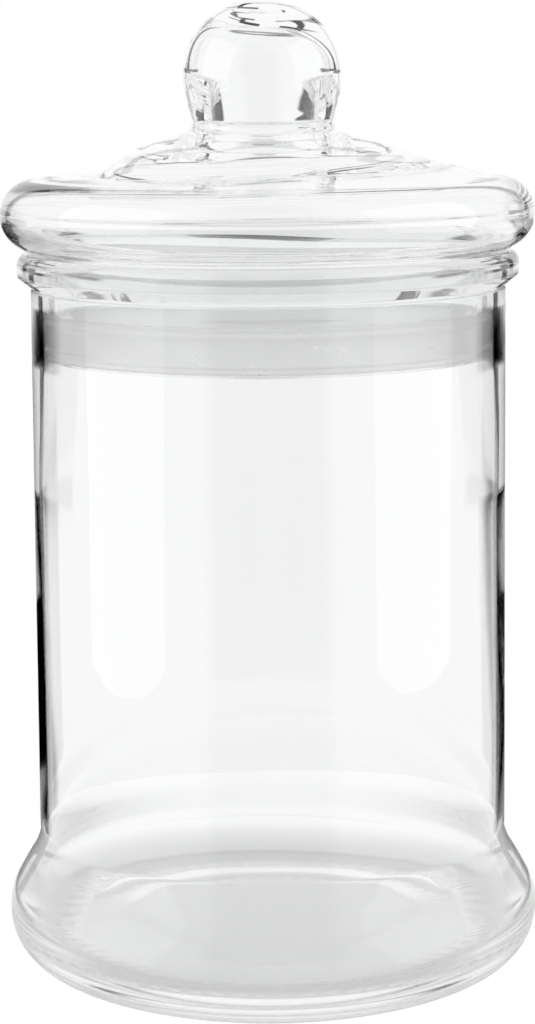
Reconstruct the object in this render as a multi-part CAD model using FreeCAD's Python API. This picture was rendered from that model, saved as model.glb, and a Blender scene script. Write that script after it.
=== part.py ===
import FreeCAD, Part
import math
import os

# A footed glass keeper: a blown glass jar, a hollow blown glass lid with a ball knob, and a
# translucent sealing ring that sits in a groove round the lid's plug.
# All sizes are in millimetres. +Z is up, the axis of every piece is the Z axis and z = 0 is the
# surface that the jar stands on. Radii are measured from that axis.

# ---- jar: body -------------------------------------------------------------------------------
JAR_HEIGHT = 190.2            # top of the mouth's rim
BODY_RADIUS = 62.7            # outside of the wall where it leaves the foot
BODY_DRAW_IN = 0.6            # how much smaller the wall's radius is under the mouth
BODY_WALL = 1.7

# ---- jar: foot -------------------------------------------------------------------------------
FOOT_FLARE = 8.3              # how far the foot's widest part stands out past the wall
HEEL_ROUND = 14.0             # round from the foot's side under to the bearing surface
FOOT_WALL = 4.8               # wall of the foot at its widest
FLARE_START_Z = 33.0          # where the wall's line meets the flare's slope
FLARE_END_Z = 19.2            # where the flare's slope meets the foot's side
FLARE_HOLLOW_ROUND = 16.0     # hollow round between wall and slope
FLARE_SHOULDER_ROUND = 15.0   # full round between slope and side
BEARING_INSET = 18.0          # from the foot's side in to the inner edge of the ring it stands on
BEARING_EDGE_ROUND = 7.0
PUSH_UP_SLOPE = 15.0          # from that edge in to the flat middle of the underside
PUSH_UP_HEIGHT = 3.0          # how far that middle is off the table
PUSH_UP_ROUND = 30.0
FLOOR_THICKNESS = 6.0
FLOOR_CORNER_ROUND = 7.4      # inside corner between floor and foot
FLARE_INNER_ROUND = 5.0       # inside of the full round

# ---- jar: mouth ------------------------------------------------------------------------------
COLLAR_STEP = 3.4             # how far the collar stands out past the wall
COLLAR_HEIGHT = 6.0           # from the mouth's top down to the collar's lower edge
COLLAR_TOP_ROUND = 3.1
COLLAR_EDGE_ROUND = 0.9
COLLAR_UNDERCUT = 3.0         # height of the slope from the collar's edge in to the wall
COLLAR_ROOT_ROUND = 2.0
MOUTH_EDGE_ROUND = 1.1
MOUTH_WALL = 3.1              # the wall is thicker round the mouth than below it
MOUTH_WALL_DEPTH = 30.0       # from the mouth's top down to where the wall starts to thin
MOUTH_WALL_FADE = 32.0        # height over which it thins
MOUTH_WALL_ROUND = 60.0

# ---- lid: rim, dome and knob -----------------------------------------------------------------
LID_SEAT_GAP = 0.3            # clearance between the jar's rim and the lid's underside
SEAT_WALL = 2.0               # bottom of the hollow rim, which rests on the jar
ROLL_WALL = 1.1
ROLL_OVERHANG = 4.1           # how far the fat rolled rim stands out past the collar
ROLL_WIDTH = 25.2             # from the rolled rim's outside in to the valley beside the dome
ROLL_HEIGHT = 17.3            # at its outside
ROLL_ROUND = 9.4
CREST_RISE = 3.3              # how much higher the rolled rim is at its inner crest
CREST_WIDTH = 2.6             # from that crest in to the valley
CREST_ROUND = 1.8
VALLEY_DEPTH = 1.4            # from the crest down to the valley
VALLEY_ROUND = 1.5
VALLEY_WALL = 2.3
DOME_WALL = 3.0
DOME_STEP = 2.3               # height of the dome's edge above the valley
DOME_STEP_INSET = 1.8         # from the valley in to the dome's edge
DOME_CORNER_ROUND = 6.0
DOME_RISE = 9.3               # from the dome's edge up to the root of the neck
DOME_CROWN_INSET = 9.1        # from the dome's edge in to where its slope changes
DOME_CROWN_LIFT = 1.55        # how far it bulges above a straight slope there
DOME_CROWN_ROUND = 30.0
NECK_RADIUS = 17.9            # narrowest part, at the dome
NECK_ROOT_ROUND = 3.0
NECK_WALL = 4.4
KNOB_RADIUS = 20.6
KNOB_WALL = 2.2               # where the hollow is widest
KNOB_SIDE_RISE = 11.4         # from the neck's root up to where the knob is widest
KNOB_SIDE_ROUND = 16.0
KNOB_HEIGHT = 33.0            # from the neck's root to the top
KNOB_TOP_ROUND = 19.0
KNOB_CROWN = 5.5              # glass thickness at the very top
HOLLOW_NECK_RISE = 4.5        # from the neck's root up to where the hollow opens into the knob
HOLLOW_NECK_ROUND = 20.0
HOLLOW_SIDE_RISE = 13.7       # from the neck's root up to where the hollow is widest
HOLLOW_SIDE_ROUND = 6.0
HOLLOW_TOP_ROUND = 14.5

# ---- lid: plug -------------------------------------------------------------------------------
PLUG_GAP = 1.4                # clearance between the plug and the jar's wall
PLUG_WALL = 2.6
PLUG_DEPTH = 27.4             # from the lid's underside down to the plug's lower edge
PLUG_ROOT_ROUND = 2.0
PLUG_LIP_ROUND = 0.35
PLUG_INNER_LIP_ROUND = 1.6
GROOVE_DEPTH = 0.6            # groove that holds the ring
GROOVE_LIP = 0.8              # glass left under the groove

# ---- sealing ring ----------------------------------------------------------------------------
RING_HEIGHT = 11.5
RING_FIT = 0.04               # clearance between the ring and its groove
RING_BAND_STEP = 0.5          # how far the band stays inside the ribs' tips
RIB_HEIGHT = 1.8
RIB_CREST = 0.7               # height of a rib's flat crest
RIB_INSET = 2.3               # from each end of the ring to its rib's middle
RING_MOUTH_GAP = 0.3          # clearance between the ribs and the jar's wall
RING_EDGE_ROUND = 0.25

# ---- shared by all pieces --------------------------------------------------------------------
SAME_POINT = 1e-6             # points closer than this are one point
MM3_PER_CM3 = 1000

# ---- places worked out from the sizes above --------------------------------------------------
MOUTH_WALL_RADIUS = BODY_RADIUS - BODY_DRAW_IN
MOUTH_INNER_RADIUS = MOUTH_WALL_RADIUS - MOUTH_WALL
THIN_START_Z = JAR_HEIGHT - MOUTH_WALL_DEPTH
THIN_END_Z = THIN_START_Z - MOUTH_WALL_FADE
FOOT_RADIUS = BODY_RADIUS + FOOT_FLARE
BEARING_INNER_RADIUS = FOOT_RADIUS - BEARING_INSET
PUSH_UP_RADIUS = BEARING_INNER_RADIUS - PUSH_UP_SLOPE
COLLAR_RADIUS = MOUTH_WALL_RADIUS + COLLAR_STEP
ROLL_RADIUS = COLLAR_RADIUS + ROLL_OVERHANG
VALLEY_RADIUS = ROLL_RADIUS - ROLL_WIDTH
CREST_RADIUS = VALLEY_RADIUS + CREST_WIDTH
DOME_RADIUS = VALLEY_RADIUS - DOME_STEP_INSET
DOME_CROWN_RADIUS = DOME_RADIUS - DOME_CROWN_INSET
PLUG_RADIUS = MOUTH_INNER_RADIUS - PLUG_GAP
FLOOR_Z = PUSH_UP_HEIGHT + FLOOR_THICKNESS
COLLAR_LOW_Z = JAR_HEIGHT - COLLAR_HEIGHT
LID_UNDER_Z = JAR_HEIGHT + LID_SEAT_GAP
ROLL_SIDE_TOP_Z = LID_UNDER_Z + ROLL_HEIGHT
CREST_Z = ROLL_SIDE_TOP_Z + CREST_RISE
VALLEY_Z = CREST_Z - VALLEY_DEPTH
DOME_EDGE_Z = VALLEY_Z + DOME_STEP
NECK_ROOT_Z = DOME_EDGE_Z + DOME_RISE
KNOB_WIDEST_Z = NECK_ROOT_Z + KNOB_SIDE_RISE
KNOB_TOP_Z = NECK_ROOT_Z + KNOB_HEIGHT
HOLLOW_TOP_Z = KNOB_TOP_Z - KNOB_CROWN
PLUG_LOW_Z = LID_UNDER_Z - PLUG_DEPTH
GROOVE_LOW_Z = PLUG_LOW_Z + GROOVE_LIP
GROOVE_TOP_Z = GROOVE_LOW_Z + RING_HEIGHT + 2 * RING_FIT
GROOVE_RADIUS = PLUG_RADIUS - GROOVE_DEPTH
RIB_TIP_RADIUS = MOUTH_INNER_RADIUS - RING_MOUTH_GAP


def tangent_length(before, corner, after, radius):
    """How far from a corner the arc of a radius touches its two lines."""
    toward = (before[0] - corner[0], before[1] - corner[1])
    away = (after[0] - corner[0], after[1] - corner[1])
    dot = toward[0] * away[0] + toward[1] * away[1]
    cosine = dot / (math.hypot(*toward) * math.hypot(*away))
    inner_angle = math.acos(max(-1.0, min(1.0, cosine)))
    return radius / math.tan(inner_angle / 2)


def along(start, end, distance):
    """The point at a distance from start on the way to end."""
    length = math.dist(start, end)
    share = distance / length
    return (start[0] + (end[0] - start[0]) * share, start[1] + (end[1] - start[1]) * share)


def vector(point):
    """A point (radius, height) of an outline as a vector in the XZ plane."""
    return FreeCAD.Vector(point[0], 0, point[1])


def rounded_outline(corners):
    """A closed wire through corners (radius, height, round), each round a tangent arc.

    Where the rounds of two neighbouring corners need more than the line between them, both are
    limited by that line, in proportion to what they ask for. A corner in line with its
    neighbours has no turn, so it takes no arc.
    """
    count = len(corners)
    points = [corner[:2] for corner in corners]
    wanted = []
    for i in range(count):
        radius = corners[i][2]
        if radius > 0:
            wanted.append(tangent_length(points[i - 1], points[i], points[(i + 1) % count], radius))
        else:
            wanted.append(0.0)
    shares = [1.0] * count
    for i in range(count):
        j = (i + 1) % count
        room = math.dist(points[i], points[j])
        if wanted[i] + wanted[j] > room:
            share = room / (wanted[i] + wanted[j])
            shares[i] = min(shares[i], share)
            shares[j] = min(shares[j], share)
    edges = []
    pen = None
    for i in range(count + 1):
        k = i % count
        before = points[k - 1]
        corner = points[k]
        after = points[(k + 1) % count]
        reach = wanted[k] * shares[k]
        start = along(corner, before, reach)
        end = along(corner, after, reach)
        if pen is not None and math.dist(pen, start) > SAME_POINT:
            edges.append(Part.LineSegment(vector(pen), vector(start)).toShape())
        if i == count:
            break
        if reach > SAME_POINT:
            radius = corners[k][2] * shares[k]
            middle = arc_middle(corner, start, end, radius)
            edges.append(Part.Arc(vector(start), vector(middle), vector(end)).toShape())
        pen = end
    return Part.Wire(edges)


def arc_middle(corner, start, end, radius):
    """The middle of the arc that rounds a corner between its two tangent points."""
    chord_middle = ((start[0] + end[0]) / 2, (start[1] + end[1]) / 2)
    reach = math.dist(corner, start)
    to_centre = math.hypot(reach, radius)
    return along(corner, chord_middle, to_centre - radius)


def turned(corners):
    """The solid that a closed outline sweeps in a full turn about the Z axis."""
    face = Part.Face(rounded_outline(corners))
    solid = face.revolve(FreeCAD.Vector(0, 0, 0), FreeCAD.Vector(0, 0, 1), 360)
    if solid.Volume < 0:
        solid.reverse()
    return solid


def jar_outside():
    """Corners from the middle of the underside, round the foot and up to the mouth."""
    return [
        (0, PUSH_UP_HEIGHT, 0),
        (PUSH_UP_RADIUS, PUSH_UP_HEIGHT, PUSH_UP_ROUND),
        (BEARING_INNER_RADIUS, 0, BEARING_EDGE_ROUND),
        (FOOT_RADIUS, 0, HEEL_ROUND),
        (FOOT_RADIUS, FLARE_END_Z, FLARE_SHOULDER_ROUND),
        (BODY_RADIUS, FLARE_START_Z, FLARE_HOLLOW_ROUND),
        (MOUTH_WALL_RADIUS, COLLAR_LOW_Z - COLLAR_UNDERCUT, COLLAR_ROOT_ROUND),
        (COLLAR_RADIUS, COLLAR_LOW_Z, COLLAR_EDGE_ROUND),
        (COLLAR_RADIUS, JAR_HEIGHT, COLLAR_TOP_ROUND),
    ]


def body_radius_at(z):
    """Outside radius of the slightly drawn-in wall at a height."""
    share = (z - FLARE_START_Z) / (COLLAR_LOW_Z - COLLAR_UNDERCUT - FLARE_START_Z)
    return BODY_RADIUS - BODY_DRAW_IN * share


def jar_inside():
    """Corners from the mouth's inner edge down the wall, out into the foot and in to the floor.

    The flare's inner corners lie below its outer ones, so that the slope keeps the wall's
    thickness measured square to it.
    """
    foot_inner_radius = FOOT_RADIUS - FOOT_WALL
    thin_radius = body_radius_at(THIN_END_Z) - BODY_WALL
    slope_angle = math.atan2(FOOT_RADIUS - BODY_RADIUS, FLARE_START_Z - FLARE_END_Z)
    drop = math.tan(slope_angle / 2)
    return [
        (MOUTH_INNER_RADIUS, JAR_HEIGHT, MOUTH_EDGE_ROUND),
        (MOUTH_INNER_RADIUS, THIN_START_Z, MOUTH_WALL_ROUND),
        (thin_radius, THIN_END_Z, MOUTH_WALL_ROUND),
        (BODY_RADIUS - BODY_WALL, FLARE_START_Z - BODY_WALL * drop, FLARE_HOLLOW_ROUND + BODY_WALL),
        (foot_inner_radius, FLARE_END_Z - FOOT_WALL * drop, FLARE_INNER_ROUND),
        (foot_inner_radius, FLOOR_Z, FLOOR_CORNER_ROUND),
        (0, FLOOR_Z, 0),
    ]


def jar():
    """The footed glass jar with its collared mouth."""
    return turned(jar_outside() + jar_inside())


def dome_slope_z(radius):
    """Height of a straight line from the dome's edge to the root of the neck."""
    share = (DOME_RADIUS - radius) / (DOME_RADIUS - NECK_RADIUS)
    return DOME_EDGE_Z + DOME_RISE * share


def lid_outside():
    """Corners up the plug's outside, round the rolled rim and over dome, neck and knob."""
    crown_z = dome_slope_z(DOME_CROWN_RADIUS) + DOME_CROWN_LIFT
    return [
        (PLUG_RADIUS, PLUG_LOW_Z, PLUG_LIP_ROUND),
        (PLUG_RADIUS, GROOVE_LOW_Z, 0),
        (GROOVE_RADIUS, GROOVE_LOW_Z, 0),
        (GROOVE_RADIUS, GROOVE_TOP_Z, 0),
        (PLUG_RADIUS, GROOVE_TOP_Z, 0),
        (PLUG_RADIUS, LID_UNDER_Z, PLUG_ROOT_ROUND),
        (ROLL_RADIUS, LID_UNDER_Z, ROLL_ROUND),
        (ROLL_RADIUS, ROLL_SIDE_TOP_Z, ROLL_ROUND),
        (CREST_RADIUS, CREST_Z, CREST_ROUND),
        (VALLEY_RADIUS, VALLEY_Z, VALLEY_ROUND),
        (DOME_RADIUS, DOME_EDGE_Z, DOME_CORNER_ROUND),
        (DOME_CROWN_RADIUS, crown_z, DOME_CROWN_ROUND),
        (NECK_RADIUS, NECK_ROOT_Z, NECK_ROOT_ROUND),
        (KNOB_RADIUS, KNOB_WIDEST_Z, KNOB_SIDE_ROUND),
        (KNOB_RADIUS, KNOB_TOP_Z, KNOB_TOP_ROUND),
        (0, KNOB_TOP_Z, 0),
    ]


def lid_inside():
    """Corners from under the knob's crown down through neck, dome and roll to the plug's lip.

    The roll's upper inner corner lies below its outer one, so that the sloping top keeps the
    wall's thickness measured square to it.
    """
    knob_inner_radius = KNOB_RADIUS - KNOB_WALL
    neck_inner_radius = NECK_RADIUS - NECK_WALL
    roll_inner_radius = ROLL_RADIUS - ROLL_WALL
    plug_inner_radius = PLUG_RADIUS - PLUG_WALL
    crown_z = dome_slope_z(DOME_CROWN_RADIUS) + DOME_CROWN_LIFT - DOME_WALL
    top_angle = math.atan2(CREST_RISE, ROLL_RADIUS - CREST_RADIUS)
    drop = math.tan((math.pi / 2 - top_angle) / 2)
    rim_floor_z = LID_UNDER_Z + SEAT_WALL
    return [
        (0, HOLLOW_TOP_Z, 0),
        (knob_inner_radius, HOLLOW_TOP_Z, HOLLOW_TOP_ROUND),
        (knob_inner_radius, NECK_ROOT_Z + HOLLOW_SIDE_RISE, HOLLOW_SIDE_ROUND),
        (neck_inner_radius, NECK_ROOT_Z + HOLLOW_NECK_RISE, HOLLOW_NECK_ROUND),
        (neck_inner_radius, NECK_ROOT_Z - DOME_WALL, NECK_ROOT_ROUND),
        (DOME_CROWN_RADIUS, crown_z, DOME_CROWN_ROUND - DOME_WALL),
        (VALLEY_RADIUS, VALLEY_Z - VALLEY_WALL, VALLEY_ROUND + VALLEY_WALL),
        (CREST_RADIUS, CREST_Z - ROLL_WALL, CREST_ROUND),
        (roll_inner_radius, ROLL_SIDE_TOP_Z - ROLL_WALL * drop, ROLL_ROUND - ROLL_WALL),
        (roll_inner_radius, rim_floor_z, ROLL_ROUND - ROLL_WALL),
        (plug_inner_radius, rim_floor_z, PLUG_ROOT_ROUND + SEAT_WALL),
        (plug_inner_radius, PLUG_LOW_Z, PLUG_INNER_LIP_ROUND),
    ]


def lid():
    """The hollow glass lid: plug, rolled rim, dome, neck and ball knob in one piece."""
    return turned(lid_outside() + lid_inside())


def rib_corners(middle_z, band_radius):
    """Corners of one rib of the ring, from its lower root to its upper root."""
    return [
        (band_radius, middle_z - RIB_HEIGHT / 2, RING_EDGE_ROUND),
        (RIB_TIP_RADIUS, middle_z - RIB_CREST / 2, RING_EDGE_ROUND),
        (RIB_TIP_RADIUS, middle_z + RIB_CREST / 2, RING_EDGE_ROUND),
        (band_radius, middle_z + RIB_HEIGHT / 2, RING_EDGE_ROUND),
    ]


def seal_ring():
    """The translucent ring in the plug's groove, with ribs that face the jar's wall."""
    inner_radius = GROOVE_RADIUS + RING_FIT
    band_radius = RIB_TIP_RADIUS - RING_BAND_STEP
    low_z = GROOVE_LOW_Z + RING_FIT
    top_z = low_z + RING_HEIGHT
    corners = [(inner_radius, low_z, 0), (band_radius, low_z, RING_EDGE_ROUND)]
    corners += rib_corners(low_z + RIB_INSET, band_radius)
    corners += rib_corners(top_z - RIB_INSET, band_radius)
    corners += [(band_radius, top_z, RING_EDGE_ROUND), (inner_radius, top_z, 0)]
    return turned(corners)


PIECES = {
    "jar": jar,
    "lid": lid,
    "seal_ring": seal_ring,
}


def main():
    """Build every piece and write one STEP file for each."""
    os.makedirs("parts", exist_ok=True)
    for node, build in PIECES.items():
        shape = build()
        shape.exportStep(f"parts/{node}.step")
        box = shape.optimalBoundingBox()
        print(f"{node}: volume {shape.Volume / MM3_PER_CM3:.1f} cm3, valid {shape.isValid()}, "
              f"solids {len(shape.Solids)}, r {box.XMax:.2f}, z {box.ZMin:.2f} to {box.ZMax:.2f}")


main()
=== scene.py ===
"""The looks of a footed glass herb keeper: jar, blown lid with a ball knob, and sealing ring.

Lengths are in metres in the part's own frame: +Z is up, z = 0 is the surface that the jar stands
on, and Z is the common axis of all pieces. The sizes of the pieces are given in millimetres.
"""
import logging
import math
from dataclasses import dataclass, replace
from enum import Enum
from typing import Any, Callable

import bpy
import numpy as np
from mathutils import Matrix, Vector


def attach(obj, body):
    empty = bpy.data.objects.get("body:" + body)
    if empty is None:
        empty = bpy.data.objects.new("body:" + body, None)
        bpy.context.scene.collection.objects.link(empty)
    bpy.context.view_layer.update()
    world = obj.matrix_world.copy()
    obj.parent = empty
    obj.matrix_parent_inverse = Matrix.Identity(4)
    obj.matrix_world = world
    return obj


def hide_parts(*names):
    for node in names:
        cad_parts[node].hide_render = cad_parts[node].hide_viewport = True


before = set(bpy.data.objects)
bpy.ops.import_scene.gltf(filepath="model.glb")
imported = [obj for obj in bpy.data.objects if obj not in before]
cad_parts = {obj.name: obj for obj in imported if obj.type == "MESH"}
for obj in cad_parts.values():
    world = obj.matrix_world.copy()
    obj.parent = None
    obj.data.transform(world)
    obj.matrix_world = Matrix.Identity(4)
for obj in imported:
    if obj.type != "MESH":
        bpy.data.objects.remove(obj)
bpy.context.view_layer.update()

MM = 0.001
NO_ROUND = 1e-6        # mm: a corner whose arc reaches less far than this stays sharp
SAME_POINT = 1e-5      # mm: points closer than this are one point
TINY = 1e-9            # keeps a division from meeting zero
GLASS_BOUNCES = 64     # light that runs along a glass wall goes black with few bounces
WHITE = (1.0, 1.0, 1.0, 1.0)
log = logging.getLogger("herb_keeper")

Grid = np.ndarray
Shaping = Callable[[Grid, Grid, Grid, Grid], tuple[Grid, Grid, Grid]]
Span = tuple[float, float]
Triple = tuple[float, float, float]
Colour = tuple[float, float, float, float]


class Body(Enum):
    """The bodies that the pieces ride on."""

    JAR = "jar"
    LID = "lid"


class Ray(Enum):
    """The kinds of ray that a material or the world tells apart."""

    CAMERA = "Is Camera Ray"
    GLOSSY = "Is Glossy Ray"
    TRANSMISSION = "Is Transmission Ray"
    SHADOW = "Is Shadow Ray"


class Blending(Enum):
    """The ways to lay one colour over another."""

    MIX = "MIX"
    MULTIPLY = "MULTIPLY"


# ---- outlines ------------------------------------------------------------------------------------


@dataclass(frozen=True)
class Corner:
    """A corner of an outline, in millimetres: radius from the axis, height, and its round."""

    r: float
    z: float
    round: float = 0.0


@dataclass(frozen=True)
class Sampling:
    """How finely a line is sampled.

    Lengths are in millimetres and angles in degrees: step is the longest distance between samples
    on a straight stretch. On an arc, samples are turn apart, or as far as chord where that is
    more, but never past most_turn, and an arc has at least the fewest stretches.
    """

    step: float
    turn: float
    chord: float
    most_turn: float = 22.5
    fewest: int = 2

    def count(self, radius: float, angle: float) -> int:
        """The number of stretches of an arc of this radius through this angle, in degrees."""
        finest = min(angle / self.turn, math.radians(angle) * radius / self.chord)
        return max(self.fewest, math.ceil(max(finest, angle / self.most_turn)))


def arc(start: np.ndarray, way: np.ndarray, reach: float, angle: float, sampling: Sampling) -> np.ndarray:
    """Samples the tangent arc of a corner.

    Its radius is reach / tan(half the angle) and its centre lies that far beside the start. Each
    sample is the spoke from centre to start, turned by a share of the angle.

    Args:
        start: where the arc leaves the line that comes in.
        way: the direction of that line.
        reach: the distance from the start to the corner.
        angle: how far the line turns, in radians; it turns left where this is positive.
        sampling: how far apart the samples are.

    Returns:
        (radius, height) rows from the arc's start to its end.
    """
    radius = reach / abs(math.tan(angle / 2))
    normal = np.array([-way[1], way[0]]) * math.copysign(1.0, angle)
    centre = start + normal * radius
    spoke = start - centre
    across = np.array([-spoke[1], spoke[0]])
    turns = np.linspace(0.0, angle, sampling.count(radius, abs(math.degrees(angle))) + 1)[:, None]
    return centre + spoke * np.cos(turns) + across * np.sin(turns)


def straight(first: np.ndarray, last: np.ndarray, step: float) -> np.ndarray:
    """Samples the line between two points, without the points themselves.

    Args:
        first: where the line starts.
        last: where it ends.
        step: the longest distance between samples.

    Returns:
        (radius, height) rows, none where the points are no more than a step apart.
    """
    count = math.ceil(float(np.linalg.norm(last - first)) / step)
    shares = np.linspace(0.0, 1.0, count + 1)[1:-1, None]
    return first + (last - first) * shares


def rounded_line(corners: list[Corner], sampling: Sampling, closed: bool) -> np.ndarray:
    """Samples a line through corners whose rounds are tangent arcs.

    An arc of radius q touches both lines at q * tan(half the turn) from the corner. Where two
    rounds need more than the line between them, both shrink in proportion.

    Args:
        corners: the corners in order, in millimetres.
        sampling: how far apart the samples are.
        closed: True if the last corner joins the first again.

    Returns:
        (radius, height) rows in millimetres.
    """
    points = np.array([(c.r, c.z) for c in corners])
    ahead = np.roll(points, -1, axis=0) - points
    length = np.linalg.norm(ahead, axis=1)
    way = ahead / length[:, None]
    before = np.roll(way, 1, axis=0)
    cross = before[:, 0] * way[:, 1] - before[:, 1] * way[:, 0]
    angle = np.arctan2(cross, np.sum(before * way, axis=1))
    wanted = np.array([c.round for c in corners]) * np.abs(np.tan(angle / 2))
    if not closed:
        wanted[[0, -1]] = 0.0
        length[-1] = np.inf
    room = np.minimum(1.0, length / np.maximum(wanted + np.roll(wanted, -1), TINY))
    reach = wanted * np.minimum(room, np.roll(room, 1))
    pieces = []
    for k, corner in enumerate(points):
        if reach[k] > NO_ROUND:
            pieces.append(arc(corner - before[k] * reach[k], before[k], reach[k], angle[k], sampling))
        else:
            pieces.append(corner[None, :])
        if closed or k < len(points) - 1:
            following = (k + 1) % len(points)
            end = points[following] - way[k] * reach[following]
            pieces.append(straight(pieces[-1][-1], end, sampling.step))
    line = np.concatenate(pieces)
    apart = np.linalg.norm(np.diff(line, axis=0), axis=1)
    return line[np.concatenate([[True], apart > SAME_POINT])]


def joined(first: np.ndarray, second: np.ndarray, second_inside: bool) -> np.ndarray:
    """Joins two lines that meet in a point, and marks the rows of the inside.

    Args:
        first: (radius, height) rows in millimetres.
        second: the rows that go on from the first line's last point.
        second_inside: True if the second line is the inside of the piece, else the first is.

    Returns:
        (radius, height, inside) rows, with inside 1 on the inner surface and 0 on the outer.
    """
    mark = np.zeros(len(first) + len(second) - 1)
    mark[len(first):] = 1.0
    line = np.concatenate([first, second[1:]])
    return np.column_stack([line, mark if second_inside else 1.0 - mark])


# ---- surfaces of revolution ----------------------------------------------------------------------


def quads(rows: int, columns: int, closed: bool) -> list[list[int]]:
    """The faces of a grid of points that closes on itself round the axis.

    Args:
        rows: how many points lie along the line.
        columns: how many lie round the axis; a row's points are numbered one after another.
        closed: True if the last row joins the first again.

    Returns:
        The four point numbers of each face.
    """
    i, j = np.meshgrid(np.arange(rows if closed else rows - 1), np.arange(columns), indexing="ij")
    here, after = i * columns, (i + 1) % rows * columns
    beside = (j + 1) % columns
    corners = [here + j, here + beside, after + beside, after + j]
    return np.stack(corners, axis=-1).reshape(-1, 4).tolist()


def caps(rows: int, columns: int) -> list[list[int]]:
    """The fans from a grid's first and last row to the two poles, numbered after the grid.

    Args:
        rows: how many points of the grid lie along the line.
        columns: how many lie round the axis.

    Returns:
        The three point numbers of each face.
    """
    around = np.arange(columns)
    beyond = (around + 1) % columns
    last_row = (rows - 1) * columns
    first = np.full(columns, rows * columns)
    start = np.stack([first, beyond, around], axis=-1)
    end = np.stack([last_row + around, last_row + beyond, first + 1], axis=-1)
    return start.tolist() + end.tolist()


def new_object(name: str, points: np.ndarray, faces: list[list[int]], curved: bool) -> bpy.types.Object:
    """Puts a mesh into the scene.

    Args:
        name: the name of mesh and object.
        points: x, y and z in metres, a row for each point.
        faces: the point numbers of each face.
        curved: True to shade across the edges.

    Returns:
        The object, at the origin and linked to the scene.
    """
    mesh = bpy.data.meshes.new(name)
    mesh.from_pydata(points.tolist(), [], faces)
    mesh.polygons.foreach_set("use_smooth", np.full(len(faces), curved))
    mesh.validate()
    mesh.update()
    made = bpy.data.objects.new(name, mesh)
    bpy.context.scene.collection.objects.link(made)
    return made


def turned(name: str, line: np.ndarray, columns: int, shaping: Shaping, closed: bool) -> bpy.types.Object:
    """Makes a closed surface by carrying a line once round the Z axis.

    The surface is point(s, a) = (x(s, a), y(s, a), z(s, a)), where shaping gives the point from the
    line's radius and height at s and the angle a. A line that starts and ends on the axis closes in
    a pole at each end; a closed line closes on itself.

    Args:
        name: the object's name.
        line: (radius, height, inside) rows; material lies on the left of its direction.
        columns: how many samples go round.
        shaping: gives x, y and z in millimetres from arrays of radius, height, inside and angle.
        closed: True for a closed line, as of a ring.

    Returns:
        The object, at the origin and linked to the scene.
    """
    angle = np.linspace(0.0, 2 * math.pi, columns, endpoint=False)
    rows = line if closed else line[1:-1]
    surface = shaping(rows[:, :1], rows[:, 1:2], rows[:, 2:], angle[None, :])
    grid = np.stack(surface, axis=-1).reshape(-1, 3)
    faces = quads(len(rows), columns, closed)
    if not closed:
        ends = line[[0, -1]]
        poles = shaping(ends[:, :1], ends[:, 1:2], ends[:, 2:], np.zeros((1, 1)))
        grid = np.concatenate([grid, np.stack(poles, axis=-1).reshape(-1, 3)])
        faces += caps(len(rows), columns)
    return new_object(name, grid * MM, faces, curved=True)


def smooth(low: float, high: float, x: Grid) -> Grid:
    """A smooth step from 0 at low to 1 at high."""
    t = np.clip((x - low) / (high - low), 0.0, 1.0)
    return t * t * (3 - 2 * t)


def band(rise: Span, fall: Span, x: Grid) -> Grid:
    """1 between two spans: it rises smoothly over the first and falls over the second."""
    return smooth(*rise, x) * (1 - smooth(*fall, x))


def ridge(off: Grid, width: float) -> Grid:
    """A low round ridge, exp(-(off / width)^2), where off is the distance from its middle."""
    return np.exp(-((off / width) ** 2))


def plain(r: Grid, z: Grid, inside: Grid, a: Grid) -> tuple[Grid, Grid, Grid]:
    """A true surface of revolution: x = r cos a, y = r sin a."""
    return r * np.cos(a), r * np.sin(a), z + 0 * a


@dataclass(frozen=True)
class Wave:
    """A slow wave on a wall, share * sin(periods * angle + height / pitch + phase)."""

    periods: int
    pitch: float
    phase: float
    share: float = 1.0

    def at(self, a: Grid, z: Grid) -> Grid:
        """The wave at these angles, in radians, and heights, in millimetres."""
        return self.share * np.sin(self.periods * a + z / self.pitch + self.phase)


@dataclass(frozen=True)
class Swell:
    """How a blown wall swells and thins: a sum of waves, deeper on the inner surface."""

    waves: tuple[Wave, ...]
    outside: float = 0.03
    more_inside: float = 0.10

    def at(self, a: Grid, z: Grid, inside: Grid) -> Grid:
        """What it adds to the radius, in millimetres."""
        return sum(wave.at(a, z) for wave in self.waves) * (self.outside + self.more_inside * inside)


# ---- shader maths --------------------------------------------------------------------------------


def grey(level: float) -> Colour:
    """A grey colour without transparency."""
    return level, level, level, 1.0


def radians(*degrees: float) -> tuple[float, ...]:
    """Angles in radians from angles in degrees."""
    return tuple(math.radians(angle) for angle in degrees)


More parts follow.
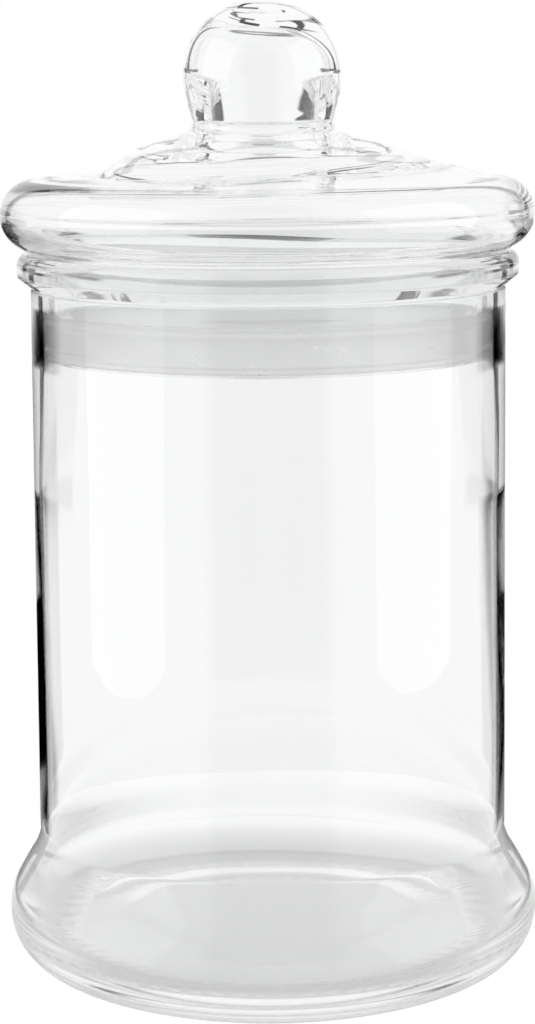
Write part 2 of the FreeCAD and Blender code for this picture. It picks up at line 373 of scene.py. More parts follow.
class Value:
    """A number socket that Python's operators work on; each operator adds one Math node."""

    def __init__(self, nodes: "Nodes", socket: Any) -> None:
        """Wraps a socket of a node tree."""
        self.nodes = nodes
        self.socket = socket

    def _math(self, operation: str, *values: Any) -> "Value":
        """One Math node on these values."""
        node = self.nodes.add("ShaderNodeMath", {"operation": operation}, dict(enumerate(values)))
        return Value(self.nodes, node.outputs[0])

    def __add__(self, other: Any) -> "Value":
        """Sum."""
        return self._math("ADD", self, other)

    __radd__ = __add__

    def __sub__(self, other: Any) -> "Value":
        """Difference."""
        return self._math("SUBTRACT", self, other)

    def __rsub__(self, other: Any) -> "Value":
        """Reflected difference, as in 1 - mask."""
        return self._math("SUBTRACT", other, self)

    def __mul__(self, other: Any) -> "Value":
        """Product."""
        return self._math("MULTIPLY", self, other)

    __rmul__ = __mul__

    def angle_of_sine(self) -> "Value":
        """The angle, in radians, that has this sine."""
        return self._math("ARCSINE", self)

    def angle_to(self, other: "Value") -> "Value":
        """The angle whose tangent is this over other."""
        return self._math("ARCTAN2", self, other)

    def most(self, other: Any) -> "Value":
        """The larger of the two."""
        return self._math("MAXIMUM", self, other)

    def step(self, low: float, high: float, start: float = 0.0, end: float = 1.0) -> "Value":
        """A smooth step.

        Args:
            low: where it starts.
            high: where it ends.
            start: its level at and below low.
            end: its level at and above high.

        Returns:
            The level at this value.
        """
        span = {0: self, 1: low, 2: high, 3: start, 4: end}
        node = self.nodes.add("ShaderNodeMapRange", {"interpolation_type": "SMOOTHSTEP"}, span)
        return Value(self.nodes, node.outputs[0])

    def between(self, low: float, high: float, soft: float) -> "Value":
        """1 between low and high, with edges that fade over soft."""
        half = soft / 2
        return self.step(low - half, low + half) * (1 - self.step(high - half, high + half))


class Nodes:
    """Adds nodes to one node tree."""

    def __init__(self, tree: bpy.types.NodeTree) -> None:
        """Starts from an empty tree."""
        tree.nodes.clear()
        self.tree = tree

    def add(self, kind: str, settings: dict[str, Any], sockets: dict[Any, Any]) -> Any:
        """Adds one node.

        Args:
            kind: the node's type.
            settings: its own settings, set before its sockets.
            sockets: values, wrapped values or links by socket name or index.

        Returns:
            The node.
        """
        node = self.tree.nodes.new(kind)
        for key, value in settings.items():
            setattr(node, key, value)
        for key, value in sockets.items():
            source = value.socket if isinstance(value, Value) else value
            if isinstance(source, bpy.types.NodeSocket):
                self.tree.links.new(source, node.inputs[key])
            else:
                node.inputs[key].default_value = source
        return node

    def value(self, node: Any, output: Any = 0) -> Value:
        """One output of a node as a number to work on."""
        return Value(self, node.outputs[output])

    def rays(self, *kinds: Ray) -> Value:
        """Tells rays apart.

        Args:
            kinds: the kinds of ray to find.

        Returns:
            1 for a ray of any of these kinds, else 0.
        """
        path = self.add("ShaderNodeLightPath", {}, {})
        first, *others = (self.value(path, kind.value) for kind in kinds)
        for other in others:
            first = first.most(other)
        return first

    def coordinates(self, kind: str = "Object") -> Any:
        """A coordinate socket: the place on the object, in metres, unless another is named."""
        return self.add("ShaderNodeTexCoord", {}, {}).outputs[kind]

    def height(self) -> Value:
        """The height on the object, in metres."""
        return self.value(self.add("ShaderNodeSeparateXYZ", {}, {0: self.coordinates()}), "Z")

    def off_axis(self) -> Value:
        """Measures the distance from the Z axis on the object.

        Returns:
            The distance in metres.
        """
        flat = {0: self.coordinates(), 1: (1, 1, 0)}
        level = self.add("ShaderNodeVectorMath", {"operation": "MULTIPLY"}, flat)
        length = self.add("ShaderNodeVectorMath", {"operation": "LENGTH"}, {0: level.outputs[0]})
        return self.value(length, "Value")

    def noise(self, scale: float, detail: float, stretch: Triple = (1, 1, 1)) -> Value:
        """Noise on Object coordinates.

        Args:
            scale: features per metre.
            detail: how many finer layers it has.
            stretch: how much denser it is along x, y and z.

        Returns:
            The noise, from 0 to 1.
        """
        mapped = self.add("ShaderNodeMapping", {}, {"Vector": self.coordinates(), "Scale": stretch})
        look = {"Vector": mapped.outputs[0], "Scale": scale, "Detail": detail}
        return self.value(self.add("ShaderNodeTexNoise", {}, look), "Fac")

    def blend(self, share: Any, first: Any, second: Any, way: Blending = Blending.MIX) -> Any:
        """Lays a second colour over a first; a colour Mix has them in sockets 6 and 7.

        Args:
            share: how much of the second colour shows.
            first: a colour or a link to one.
            second: a colour or a link to one.
            way: how the second is laid over the first.

        Returns:
            A link to the colour, from the node's output 2.
        """
        kind = {"data_type": "RGBA", "blend_type": way.value}
        mix = self.add("ShaderNodeMix", kind, {0: share, 6: first, 7: second})
        return mix.outputs[2]


def new_material(name: str) -> tuple[bpy.types.Material, Nodes]:
    """Makes an empty node material.

    Args:
        name: the material's name.

    Returns:
        The material and the helper that adds its nodes.
    """
    material = bpy.data.materials.new(name)
    material.use_nodes = True
    return material, Nodes(material.node_tree)


# ---- finishes ------------------------------------------------------------------------------------


@dataclass(frozen=True)
class ClearGlass:
    """Polished soda-lime glass with the slow waves of moulds and blown walls.

    Lengths are in metres. A film roughens it in spots. Below the chill heights a mould may have
    left it rougher. Beyond a radius and above a height its colour may be multiplied by a grey:
    painted shade, which the jar's collar gets.
    """

    name: str
    pale: Colour = (0.972, 0.976, 0.974, 1.0)
    deep: Colour = (0.955, 0.962, 0.960, 1.0)
    tint_scale: float = 22.0
    tint_detail: float = 2.0
    ior: float = 1.5
    wave_scale: float = 38.0
    wave_detail: float = 1.5
    wave_height: float = 0.00006
    film_scale: float = 90.0
    film_detail: float = 4.0
    film_spots: Span = (0.58, 0.8)
    film_roughness: float = 0.03
    chill: Span = (0.022, 0.040)
    chill_roughness: float = 0.0
    # Painted shade: a grey below 1 darkens the glass beyond the radius and above the height below.
    painted_shade_grey: float = 1.0
    painted_shade_radius: Span = (0.0618, 0.0632)
    painted_shade_height: Span = (0.1800, 0.1835)
    shadow: float = 0.9

    def material(self) -> bpy.types.Material:
        """Builds the glass, which lets most light through to the shadow behind it.

        Returns:
            The material.
        """
        material, nodes = new_material(self.name)
        wave = nodes.noise(self.wave_scale, self.wave_detail)
        relief = {"Strength": 1.0, "Distance": self.wave_height, "Height": wave}
        bump = nodes.add("ShaderNodeBump", {}, relief)
        tint = nodes.blend(nodes.noise(self.tint_scale, self.tint_detail), self.deep, self.pale)
        # Mask of the painted shade that greys the glass's colour.
        edge = nodes.off_axis().step(*self.painted_shade_radius) * nodes.height().step(*self.painted_shade_height)
        spots = nodes.noise(self.film_scale, self.film_detail)
        film = spots.step(*self.film_spots, 0.0, self.film_roughness)
        glass = nodes.add(
            "ShaderNodeBsdfPrincipled",
            {},
            {
                "Base Color": nodes.blend(edge, tint, grey(self.painted_shade_grey), Blending.MULTIPLY),
                "Roughness": film + nodes.height().step(*self.chill, self.chill_roughness, 0.0),
                "IOR": self.ior,
                "Transmission Weight": 1.0,
                "Normal": bump.outputs[0],
            },
        )
        clear = nodes.add("ShaderNodeBsdfTransparent", {}, {"Color": grey(self.shadow)})
        shaders = {0: nodes.rays(Ray.SHADOW), 1: glass.outputs[0], 2: clear.outputs[0]}
        surface = nodes.add("ShaderNodeMixShader", {}, shaders)
        nodes.add("ShaderNodeOutputMaterial", {}, {"Surface": surface.outputs[0]})
        return material


@dataclass(frozen=True)
class MilkySilicone:
    """Soft translucent white silicone, satin and slightly cloudy; lengths are in metres."""

    name: str
    pale: Colour = (1.0, 1.0, 0.998, 1.0)
    deep: Colour = (0.985, 0.985, 0.985, 1.0)
    cloud_scale: float = 60.0
    cloud_detail: float = 4.0
    cloud_stretch: Triple = (1, 1, 2.5)
    cloud_tint: Span = (0.3, 0.7)
    cloud_gloss: Span = (0.2, 0.8)
    roughness: Span = (0.26, 0.38)
    grain_scale: float = 1800.0
    grain_detail: float = 2.0
    grain_height: float = 0.00003
    grain_strength: float = 0.4
    ior: float = 1.41
    clearness: float = 0.85

    def material(self) -> bpy.types.Material:
        """Builds the silicone.

        Returns:
            The material.
        """
        material, nodes = new_material(self.name)
        cloud = nodes.noise(self.cloud_scale, self.cloud_detail, self.cloud_stretch)
        grain = nodes.noise(self.grain_scale, self.grain_detail)
        relief = {"Strength": self.grain_strength, "Distance": self.grain_height, "Height": grain}
        bump = nodes.add("ShaderNodeBump", {}, relief)
        silicone = nodes.add(
            "ShaderNodeBsdfPrincipled",
            {},
            {
                "Base Color": nodes.blend(cloud.step(*self.cloud_tint), self.deep, self.pale),
                "Roughness": cloud.step(*self.cloud_gloss, *self.roughness),
                "IOR": self.ior,
                "Transmission Weight": self.clearness,
                "Normal": bump.outputs[0],
            },
        )
        nodes.add("ShaderNodeOutputMaterial", {}, {"Surface": silicone.outputs[0]})
        return material


# ---- pieces --------------------------------------------------------------------------------------


@dataclass
class Jar:
    """The footed jar, sizes in millimetres.

    A span in the name of a mark or swell says over which radii or heights it comes or goes.
    """

    height: float = 190.2
    body_radius: float = 62.7
    draw_in: float = 0.6
    wall: float = 1.7
    mouth_wall: float = 3.1
    mouth_wall_depth: float = 30.0
    mouth_wall_fade: float = 32.0
    mouth_wall_round: float = 60.0
    foot_radius: float = 71.0
    heel_round: float = 14.0
    foot_wall: float = 4.8
    flare_start: float = 33.0
    flare_end: float = 19.2
    flare_hollow: float = 16.0
    flare_shoulder: float = 15.0
    flare_inner: float = 5.0
    bearing_inner: float = 53.0
    bearing_round: float = 7.0
    push_up_radius: float = 38.0
    push_up_height: float = 3.0
    push_up_round: float = 30.0
    floor_thickness: float = 6.0
    floor_round: float = 7.4
    collar_radius: float = 65.5
    collar_height: float = 6.0
    collar_top_round: float = 3.1
    collar_edge_round: float = 0.9
    collar_undercut: float = 3.0
    collar_root_round: float = 2.0
    mouth_round: float = 1.1
    swell: Swell = Swell((Wave(3, 30.0, 0.6), Wave(2, -41.0, 2.0, 0.7)))
    swell_starts: Span = (38.0, 60.0)
    swell_ends: Span = (118.0, 150.0)
    knurls: int = 64
    knurl_height: float = 0.35
    knurl_flank: float = 0.5
    knurl_inner: Span = (56.5, 57.5)
    knurl_outer: Span = (60.5, 61.5)
    knurls_below: Span = (2.0, 4.0)
    seams: int = 2
    seam_angle: float = -103.0
    seam_height: float = 0.14
    seam_width: float = 0.45
    seam_starts: Span = (1.0, 4.0)
    seam_ends: Span = (26.0, 36.0)
    seam_beyond: Span = (60.0, 64.0)
    sampling: Sampling = Sampling(step=4.5, turn=5.0, chord=0.45)
    columns: int = 512

    def outside(self) -> list[Corner]:
        """The outline from the middle of the underside up to the middle of the mouth's rim.

        Returns:
            The corners in order.
        """
        mouth = self.body_radius - self.draw_in
        collar_low = self.height - self.collar_height
        return [
            Corner(0, self.push_up_height),
            Corner(self.push_up_radius, self.push_up_height, self.push_up_round),
            Corner(self.bearing_inner, 0, self.bearing_round),
            Corner(self.foot_radius, 0, self.heel_round),
            Corner(self.foot_radius, self.flare_end, self.flare_shoulder),
            Corner(self.body_radius, self.flare_start, self.flare_hollow),
            Corner(mouth, collar_low - self.collar_undercut, self.collar_root_round),
            Corner(self.collar_radius, collar_low, self.collar_edge_round),
            Corner(self.collar_radius, self.height, self.collar_top_round),
            Corner(mouth - self.mouth_wall / 2, self.height),
        ]

    def inside(self) -> list[Corner]:
        """The outline from the middle of the mouth's rim down to the middle of the floor.

        Returns:
            The corners in order.
        """
        mouth = self.body_radius - self.draw_in
        wall_top = self.height - self.collar_height - self.collar_undercut
        thin_start = self.height - self.mouth_wall_depth
        thin_end = thin_start - self.mouth_wall_fade
        share = (thin_end - self.flare_start) / (wall_top - self.flare_start)
        slope = math.atan2(self.foot_radius - self.body_radius, self.flare_start - self.flare_end)
        drop = math.tan(slope / 2)
        body = self.body_radius - self.wall
        foot = self.foot_radius - self.foot_wall
        floor = self.push_up_height + self.floor_thickness
        return [
            Corner(mouth - self.mouth_wall / 2, self.height),
            Corner(mouth - self.mouth_wall, self.height, self.mouth_round),
            Corner(mouth - self.mouth_wall, thin_start, self.mouth_wall_round),
            Corner(body - self.draw_in * share, thin_end, self.mouth_wall_round),
            Corner(body, self.flare_start - self.wall * drop, self.flare_hollow + self.wall),
            Corner(foot, self.flare_end - self.foot_wall * drop, self.flare_inner),
            Corner(foot, floor, self.floor_round),
            Corner(0, floor),
        ]

    def shaped(self, r: Grid, z: Grid, inside: Grid, a: Grid) -> tuple[Grid, Grid, Grid]:
        """The jar's turned form with what mould and blowing leave on it.

        The walls of the body swell in slow waves. Mould seams stand out from the foot as narrow
        ridges, evenly spread round it. Between two radii the underside has knurls: a cosine with
        one period for each, cut to flat crests and gaps.

        Args:
            r: radius in millimetres.
            z: height in millimetres.
            inside: 1 on the inner surface, 0 on the outer.
            a: angle round the axis, in radians.

        Returns:
            x, y and z in millimetres.
        """
        r = r + band(self.swell_starts, self.swell_ends, z) * self.swell.at(a, z, inside)
        apart = 360 / self.seams
        off = np.abs((np.degrees(a) - self.seam_angle + apart / 2) % apart - apart / 2)
        seam = ridge(off, self.seam_width) * band(self.seam_starts, self.seam_ends, z)
        r = r + self.seam_height * seam * (1 - inside) * smooth(*self.seam_beyond, r)
        ring = band(self.knurl_inner, self.knurl_outer, r) * (1 - smooth(*self.knurls_below, z))
        knurl = ring * smooth(-self.knurl_flank, self.knurl_flank, np.cos(self.knurls * a))
        return plain(r, z + self.knurl_height * knurl * (1 - inside), inside, a)

    def build(self) -> bpy.types.Object:
        """Builds the jar's mesh.

        Returns:
            The jar.
        """
        outside = rounded_line(self.outside(), self.sampling, closed=False)
        inside = rounded_line(self.inside(), self.sampling, closed=False)
        line = joined(outside, inside, second_inside=True)
        return turned("jar_glass", line, self.columns, self.shaped, closed=False)

    def dress(self, piece: bpy.types.Object) -> bpy.types.Object:
        """Gives the jar its glass and its body.

        Args:
            piece: the jar.

        Returns:
            The same piece.
        """
        # The collar's glass is greyed to 0.8: painted shade where it looks dark.
        glass = ClearGlass("jar_clear_glass", chill_roughness=0.1, painted_shade_grey=0.8)
        piece.data.materials.append(glass.material())
        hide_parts("jar")
        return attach(piece, Body.JAR.value)


@dataclass
class Lid:
    """The hollow blown lid, sizes in millimetres; under is the height of its underside.

    A span in the name of a mark, shift or swell says over which radii or heights it comes or goes.
    """

    under: float = 190.5
    seat_wall: float = 2.0
    roll_wall: float = 1.1
    roll_radius: float = 69.6
    roll_height: float = 17.3
    roll_round: float = 9.4
    crest_radius: float = 47.0
    crest_rise: float = 3.3
    crest_round: float = 1.8
    valley_radius: float = 44.4
    valley_depth: float = 1.4
    valley_round: float = 1.5
    valley_wall: float = 2.3
    dome_wall: float = 3.0
    dome_radius: float = 42.6
    dome_step: float = 2.3
    dome_corner_round: float = 6.0
    dome_rise: float = 9.3
    crown_radius: float = 33.5
    crown_lift: float = 1.55
    crown_round: float = 30.0
    neck_radius: float = 17.9
    neck_root_round: float = 3.0
    neck_wall: float = 4.4
    knob_radius: float = 20.6
    knob_side_rise: float = 11.4
    knob_side_round: float = 16.0
    knob_height: float = 33.0
    knob_top_round: float = 19.0
    knob_crown: float = 5.5
    knob_wall: float = 2.2
    hollow_neck_rise: float = 4.5
    hollow_neck_round: float = 20.0
    hollow_side_rise: float = 13.7
    hollow_side_round: float = 6.0
    hollow_top_round: float = 14.5
    plug_radius: float = 57.6
    plug_wall: float = 2.6
    plug_depth: float = 27.4
    plug_root_round: float = 2.0
    plug_lip_round: float = 0.35
    plug_inner_round: float = 1.6
    groove_depth: float = 0.6
    groove_lip: float = 0.8
    groove_height: float = 11.58
    groove_edge_round: float = 0.12
    blown_above: Span = (193.0, 200.0)
    swell: Swell = Swell((Wave(3, 9.0, 0.7), Wave(5, -7.0, 2.1, 0.6)))
    swell_beyond: Span = (2.0, 12.0)
    lean: float = 1.2
    lean_starts: Span = (36.0, 42.0)
    lean_ends: Span = (46.0, 57.0)
    lean_above: Span = (199.0, 206.0)
    knob_shift: float = -1.05
    knob_above: Span = (214.0, 222.0)
    neck_hollow_shift: float = -0.1
    knob_hollow_shift: float = -0.5
    knob_hollow_above: Span = (225.0, 237.0)
    roll_hollow_shift: float = -0.6
    roll_beyond: Span = (50.0, 60.0)
    ceiling_slope: float = -0.05
    ceiling_above: Span = (238.0, 248.0)
    parting_height: float = 0.16
    parting_rise: float = 10.3
    parting_width: float = 0.45
    parting_beyond: Span = (60.0, 64.0)
    inside_sampling: Sampling = Sampling(step=1.4, turn=3.0, chord=0.5)
    outside_sampling: Sampling = Sampling(step=1.6, turn=2.0, chord=0.5)
    columns: int = 240

    def heights(self) -> tuple[float, ...]:
        """Works out the heights that both outlines share.

        Returns:
            Heights of the roll's side top, crest, valley, dome's edge, crown and neck's root.
        """
        side = self.under + self.roll_height
        crest = side + self.crest_rise
        valley = crest - self.valley_depth
        edge = valley + self.dome_step
        share = (self.dome_radius - self.crown_radius) / (self.dome_radius - self.neck_radius)
        crown = edge + self.dome_rise * share + self.crown_lift
        return side, crest, valley, edge, crown, edge + self.dome_rise

    def inside(self) -> list[Corner]:
        """The outline from under the knob's crown down to the middle of the plug's lip.

        Returns:
            The corners in order.
        """
        side, crest, valley, _, crown, root = self.heights()
        top = root + self.knob_height - self.knob_crown
        knob = self.knob_radius - self.knob_wall
        neck = self.neck_radius - self.neck_wall
        roll = self.roll_radius - self.roll_wall
        roll_round = self.roll_round - self.roll_wall
        plug = self.plug_radius - self.plug_wall
        rim_floor = self.under + self.seat_wall
        slope = math.atan2(self.crest_rise, self.roll_radius - self.crest_radius)
        drop = math.tan((math.pi / 2 - slope) / 2)
        return [
            Corner(0, top),
            Corner(knob, top, self.hollow_top_round),
            Corner(knob, root + self.hollow_side_rise, self.hollow_side_round),
            Corner(neck, root + self.hollow_neck_rise, self.hollow_neck_round),
            Corner(neck, root - self.dome_wall, self.neck_root_round),
            Corner(self.crown_radius, crown - self.dome_wall, self.crown_round - self.dome_wall),
            Corner(self.valley_radius, valley - self.valley_wall, self.valley_round + self.valley_wall),
            Corner(self.crest_radius, crest - self.roll_wall, self.crest_round),
            Corner(roll, side - self.roll_wall * drop, roll_round),
            Corner(roll, rim_floor, roll_round),
            Corner(plug, rim_floor, self.plug_root_round + self.seat_wall),
            Corner(plug, self.under - self.plug_depth, self.plug_inner_round),
            Corner(self.plug_radius - self.plug_wall / 2, self.under - self.plug_depth),
        ]

    def outside(self) -> list[Corner]:
        """The outline from the middle of the plug's lip up to the top of the knob.

        Returns:
            The corners in order.
        """
        side, crest, valley, edge, crown, root = self.heights()
        top = root + self.knob_height
        plug_low = self.under - self.plug_depth
        groove_low = plug_low + self.groove_lip
        groove_top = groove_low + self.groove_height
        groove = self.plug_radius - self.groove_depth
        return [
            Corner(self.plug_radius - self.plug_wall / 2, plug_low),
            Corner(self.plug_radius, plug_low, self.plug_lip_round),
            Corner(self.plug_radius, groove_low, self.groove_edge_round),
            Corner(groove, groove_low, self.groove_edge_round),
            Corner(groove, groove_top, self.groove_edge_round),
            Corner(self.plug_radius, groove_top, self.groove_edge_round),
            Corner(self.plug_radius, self.under, self.plug_root_round),
            Corner(self.roll_radius, self.under, self.roll_round),
            Corner(self.roll_radius, side, self.roll_round),
            Corner(self.crest_radius, crest, self.crest_round),
            Corner(self.valley_radius, valley, self.valley_round),
            Corner(self.dome_radius, edge, self.dome_corner_round),
            Corner(self.crown_radius, crown, self.crown_round),
            Corner(self.neck_radius, root, self.neck_root_round),
            Corner(self.knob_radius, root + self.knob_side_rise, self.knob_side_round),
            Corner(self.knob_radius, top, self.knob_top_round),
            Corner(0, top),
        ]

    def shaped(self, r: Grid, z: Grid, inside: Grid, a: Grid) -> tuple[Grid, Grid, Grid]:
        """The lid's turned form with the unevenness of blown glass.

        Plug and seat stay true. Above them the walls swell in slow waves, and the mould's parting
        line runs round the roll as a low ridge. The ring round the valley leans: it is raised by
        lean times the cosine of the angle. The knob sits off the axis, and the hollow sits off the
        middle of neck, knob and roll, so the glass is thin on one side. The ceiling of the knob's
        hollow slopes.

        Args:
            r: radius in millimetres.
            z: height in millimetres.
            inside: 1 on the inner surface, 0 on the outer.
            a: angle round the axis, in radians.

        Returns:
            x, y and z in millimetres.
        """
        blown = smooth(*self.blown_above, z)
        r = r + blown * self.swell.at(a, z, inside) * smooth(*self.swell_beyond, r)
        parting = ridge(z - self.under - self.parting_rise, self.parting_width)
        r = r + self.parting_height * parting * (1 - inside) * smooth(*self.parting_beyond, r)
        ring = band(self.lean_starts, self.lean_ends, r) * smooth(*self.lean_above, z)
        x, y, z = plain(r, z + self.lean * ring * np.cos(a), inside, a)
        knob = smooth(*self.knob_above, z)
        further = (self.knob_hollow_shift - self.neck_hollow_shift) * smooth(*self.knob_hollow_above, z)
        roll = self.roll_hollow_shift * smooth(*self.roll_beyond, r) * blown
        hollow = self.neck_hollow_shift * knob + further + roll
        ceiling = self.ceiling_slope * x * smooth(*self.ceiling_above, z)
        return x + self.knob_shift * knob + inside * hollow, y, z + inside * ceiling

    def build(self) -> bpy.types.Object:
        """Builds the lid's mesh.

        Returns:
            The lid.
        """
        inside = rounded_line(self.inside(), self.inside_sampling, closed=False)
        outside = rounded_line(self.outside(), self.outside_sampling, closed=False)
        line = joined(inside, outside, second_inside=False)
        return turned("lid_glass", line, self.columns, self.shaped, closed=False)

    def dress(self, piece: bpy.types.Object) -> bpy.types.Object:
        """Gives the lid its glass and its body.

        Args:
            piece: the lid.

        Returns:
            The same piece.
        """
        piece.data.materials.append(ClearGlass("lid_clear_glass").material())
        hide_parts("lid")
        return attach(piece, Body.LID.value)


@dataclass
class SealRing:
    """The ribbed sealing ring, sizes in millimetres; low is the height of its lower edge."""

    low: float = 163.94
    height: float = 11.5
    inner_radius: float = 57.04
    inner_round: float = 0.1
    tip_radius: float = 58.7
    band_step: float = 0.5
    rib_height: float = 1.8
    rib_crest: float = 0.7
    rib_inset: float = 2.3
    edge_round: float = 0.25
    sampling: Sampling = Sampling(step=1.0, turn=15.0, chord=0.01)
    columns: int = 320

    def rib(self, middle: float) -> list[Corner]:
        """The outline of one rib.

        Args:
            middle: the height of the rib's middle.

        Returns:
            The corners from below.
        """
        half, crest, edge = self.rib_height / 2, self.rib_crest / 2, self.edge_round
        outline = self.tip_radius - self.band_step
        return [
            Corner(outline, middle - half, edge),
            Corner(self.tip_radius, middle - crest, edge),
            Corner(self.tip_radius, middle + crest, edge),
            Corner(outline, middle + half, edge),
        ]

    def corners(self) -> list[Corner]:
        """The closed outline, from the foot of the inside out and up.

        Returns:
            The corners in order.
        """
        outer = self.tip_radius - self.band_step
        top = self.low + self.height
        return [
            Corner(self.inner_radius, self.low, self.inner_round),
            Corner(outer, self.low, self.edge_round),
            *self.rib(self.low + self.rib_inset),
            *self.rib(top - self.rib_inset),
            Corner(outer, top, self.edge_round),
            Corner(self.inner_radius, top, self.inner_round),
        ]

    def build(self) -> bpy.types.Object:
        """Builds the ring's mesh.

        Returns:
            The ring.
        """
        line = rounded_line(self.corners(), self.sampling, closed=True)
        line = np.column_stack([line, np.zeros(len(line))])
        return turned("seal_ring_silicone", line, self.columns, plain, closed=True)

    def dress(self, piece: bpy.types.Object) -> bpy.types.Object:
        """Gives the ring its silicone and its body.

        Args:
            piece: the ring.

        Returns:
            The same piece.
        """
        piece.data.materials.append(MilkySilicone("milky_silicone").material())
        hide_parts("seal_ring")
        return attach(piece, Body.LID.value)


# ---- studio --------------------------------------------------------------------------------------


@dataclass(frozen=True)
class Card:
    """A dark card of the studio, which only glass shows.

    Angles are in degrees: around goes from straight behind the object (0) to the right (90) and to
    the front (180), and up from the horizon (0). level is the brightness, where the white around
    has 1. The sides blur over soft and the upper and lower ends over fade.
    """

    around: Span
    up: Span
    level: float
    soft: float
    fade: float

    def mirrored(self) -> "Card":
        """The same card on the left."""
        low, high = self.around
        return replace(self, around=(-high, -low))

    def darkening(self, around: Value, up: Value) -> Value:
        """Darkens the white behind the card.

        Args:
            around: the angle from straight behind the object to the right.
            up: the angle above the horizon.

        Returns:
            The factor on the white in that direction.
        """
        sides = around.between(*radians(*self.around, self.soft))
        ends = up.between(*radians(*self.up, self.fade))
        return 1 - sides * ends * (1 - self.level)


@dataclass(frozen=True)
class Arch:
    """A dark arch round what is straight behind the object, which only glass shows.

    Angles are in degrees: off is the distance from straight behind of its inner and outer edge,
    and it stands above foot, measured from the horizon. Its edges blur over soft.
    """

    off: Span = (30, 37)
    foot: float = -5.0
    soft: float = 2.5

    def darkening(self, ahead: Value, up: Value) -> Value:
        """Darkens the white behind the arch.

        Args:
            ahead: the part of the direction that points straight behind the object.
            up: the angle above the horizon.

        Returns:
            The factor on the white in that direction.
        """
        inner, outer, foot, soft = radians(*self.off, self.foot, self.soft)
        off = math.pi / 2 - ahead.angle_of_sine()
        return 1 - off.between(inner, outer, soft) * up.step(foot - soft, foot)


@dataclass(frozen=True)
class Camera:
    """The camera in front, a little above the knob's middle, tilted down; lengths in metres."""

    place: Triple = (-0.00064, -0.71875, 0.24387)
    tilt: float = 0.17
    roll: float = -0.0085
    sensor: float = 36.0
    image_height: int = 1024
    focal_length: float = 2743.5

    def build(self) -> None:
        """Adds the camera; focal_length and image_height are in pixels, sensor in millimetres."""
        data = bpy.data.cameras.new("camera")
        data.sensor_width = self.sensor
        data.lens = self.focal_length * self.sensor / self.image_height
        camera = bpy.data.objects.new("camera", data)
        bpy.context.scene.collection.objects.link(camera)
        tilt = Matrix.Rotation(math.pi / 2 - self.tilt, 4, "X")
        roll = Matrix.Rotation(self.roll, 4, "Z")
        camera.matrix_world = Matrix.Translation(self.place) @ tilt @ roll
        bpy.context.scene.camera = camera


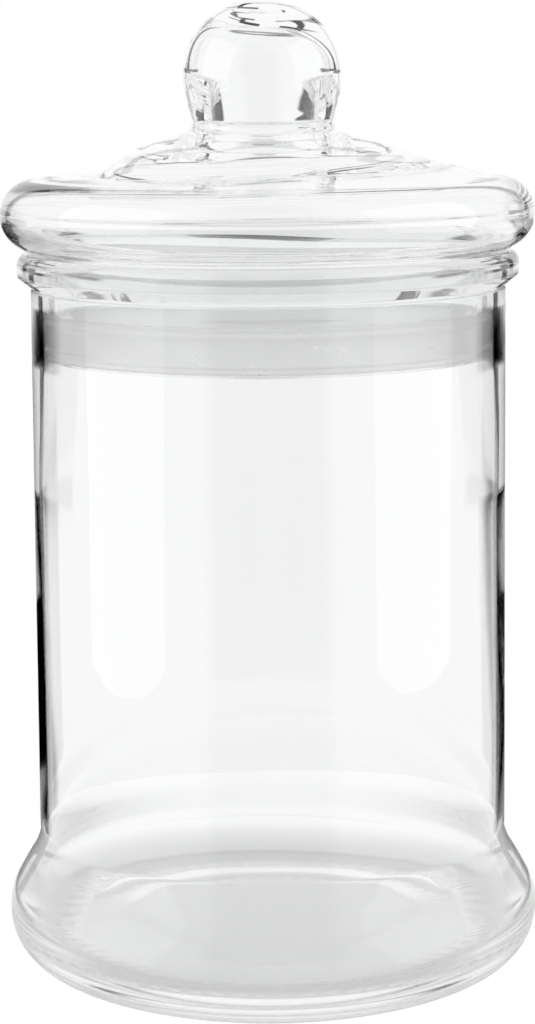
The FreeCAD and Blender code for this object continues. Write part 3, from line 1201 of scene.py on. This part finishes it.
@dataclass
class Studio:
    """A small round white table, white surroundings with dark cards and an arch, and two softboxes.

    Lengths are in metres. Glass shows the table darker near the axis, and darker still in the ring
    where the foot touches it, set by the contact fields: both are painted shade, a weaker glow of
    the table under the jar. Every card has a mirrored one.
    """

    table_radius: float = 0.15
    table_sides: int = 128
    table_colour: float = 0.8
    table_white: float = 0.6
    # In glass the table glows less near the axis and in the contact ring: painted shade under the jar.
    table_in_glass: Span = (0.27, 0.6)
    painted_shade_fade: Span = (0.07, 0.13)
    painted_contact_shadow: Span = (0.059, 0.074)
    contact_soft: float = 0.006
    contact_shade: float = 0.12
    light_level: float = 0.42
    cards: tuple[Card, ...] = (
        Card((11.5, 36), (-18, -5.5), level=0.0, soft=2.5, fade=2.0),
        Card((34, 56), (-9, -5.0), level=0.0, soft=4.0, fade=2.0),
        Card((150, 190), (-30, 75), level=0.6, soft=10.0, fade=10.0),
    )
    arch: Arch = Arch()
    camera: Camera = Camera()
    softbox_distance: float = 0.85
    softbox_around: float = 72.0
    softbox_rise: float = 0.45
    softbox_aim: float = 0.12
    softbox_size: Span = (0.8, 1.1)
    softbox_level: float = 1.0

    def build(self) -> None:
        """Builds table, surroundings, lamps and camera."""
        self.table()
        self.surroundings()
        for side in (-1, 1):
            self.softbox(side)
        self.camera.build()

    def table(self) -> None:
        """Adds a flat round table: points radius * (cos a, sin a, 0), joined by one face."""
        ring = np.linspace(0.0, 2 * math.pi, self.table_sides, endpoint=False)
        points = np.stack([np.cos(ring), np.sin(ring), 0 * ring], axis=-1) * self.table_radius
        table = new_object("round_table", points, [list(range(self.table_sides))], curved=False)
        table.data.materials.append(self.paper())

    def paper(self) -> bpy.types.Material:
        """White paper that stays white for the camera, takes the shadow, and shows painted shade in
        glass.

        Returns:
            The material.
        """
        material, nodes = new_material("pale_table")
        paper = nodes.add("ShaderNodeBsdfDiffuse", {}, {"Color": grey(self.table_colour)})
        off = nodes.off_axis()
        # Painted shadow: in glass the glow drops in the ring where the foot touches the table.
        painted_contact_shadow = off.between(*self.painted_contact_shadow, self.contact_soft) * self.contact_shade
        # Painted shade: in glass the glow is lower near the axis, and lower still in that ring.
        in_glass = off.step(*self.painted_shade_fade, *self.table_in_glass) - painted_contact_shadow
        glass = nodes.rays(Ray.GLOSSY, Ray.TRANSMISSION)
        seen = nodes.rays(Ray.CAMERA) * self.table_white + glass * in_glass
        glow = nodes.add("ShaderNodeEmission", {}, {"Strength": seen})
        both = nodes.add("ShaderNodeAddShader", {}, {0: paper.outputs[0], 1: glow.outputs[0]})
        nodes.add("ShaderNodeOutputMaterial", {}, {"Surface": both.outputs[0]})
        return material

    def surroundings(self) -> None:
        """Makes the world: white for the camera, with cards and arch in glass, plain light else."""
        world = bpy.data.worlds.new("white_studio")
        bpy.context.scene.world = world
        world.use_nodes = True
        nodes = Nodes(world.node_tree)
        split = nodes.add("ShaderNodeSeparateXYZ", {}, {0: nodes.coordinates("Generated")})
        right, ahead, rise = (nodes.value(split, axis) for axis in "XYZ")
        around, up = right.angle_to(ahead), rise.angle_of_sine()
        white = 1.0
        for card in self.cards:
            white = white * card.darkening(around, up) * card.mirrored().darkening(around, up)
        white = white * self.arch.darkening(ahead, up)
        camera = nodes.rays(Ray.CAMERA)
        in_glass = nodes.rays(Ray.GLOSSY, Ray.TRANSMISSION)
        other = 1 - camera.most(in_glass)
        strength = camera + in_glass * white + other * self.light_level
        light = nodes.add("ShaderNodeBackground", {}, {"Color": WHITE, "Strength": strength})
        nodes.add("ShaderNodeOutputWorld", {}, {"Surface": light.outputs[0]})

    def softbox(self, side: int) -> None:
        """Adds an upright softbox in front of the object.

        Args:
            side: -1 for the one on the left, 1 for the one on the right.
        """
        width, height = self.softbox_size
        lamp = bpy.data.lights.new(f"softbox_{side}", "AREA")
        lamp.shape = "RECTANGLE"
        lamp.size, lamp.size_y = width, height
        lamp.energy = self.softbox_level * math.pi * width * height
        box = bpy.data.objects.new(lamp.name, lamp)
        bpy.context.scene.collection.objects.link(box)
        around = math.radians(self.softbox_around)
        way = Vector((side * math.sin(around), -math.cos(around), self.softbox_rise))
        box.location = way * self.softbox_distance
        aim = box.location - Vector((0, 0, self.softbox_aim))
        box.rotation_euler = aim.to_track_quat("Z", "Y").to_euler()
        box.visible_camera = False
        box.visible_transmission = False


def main() -> None:
    """Builds pieces and studio in order."""
    logging.basicConfig(level=logging.INFO, format="%(message)s")
    for part in (Jar(), Lid(), SealRing()):
        piece = part.dress(part.build())
    Studio().build()
    scene = bpy.context.scene
    scene.view_settings.view_transform = "Standard"
    scene.cycles.max_bounces = GLASS_BOUNCES
    scene.cycles.transmission_bounces = GLASS_BOUNCES
    scene.cycles.glossy_bounces = GLASS_BOUNCES


if __name__ == "__main__":
    main()
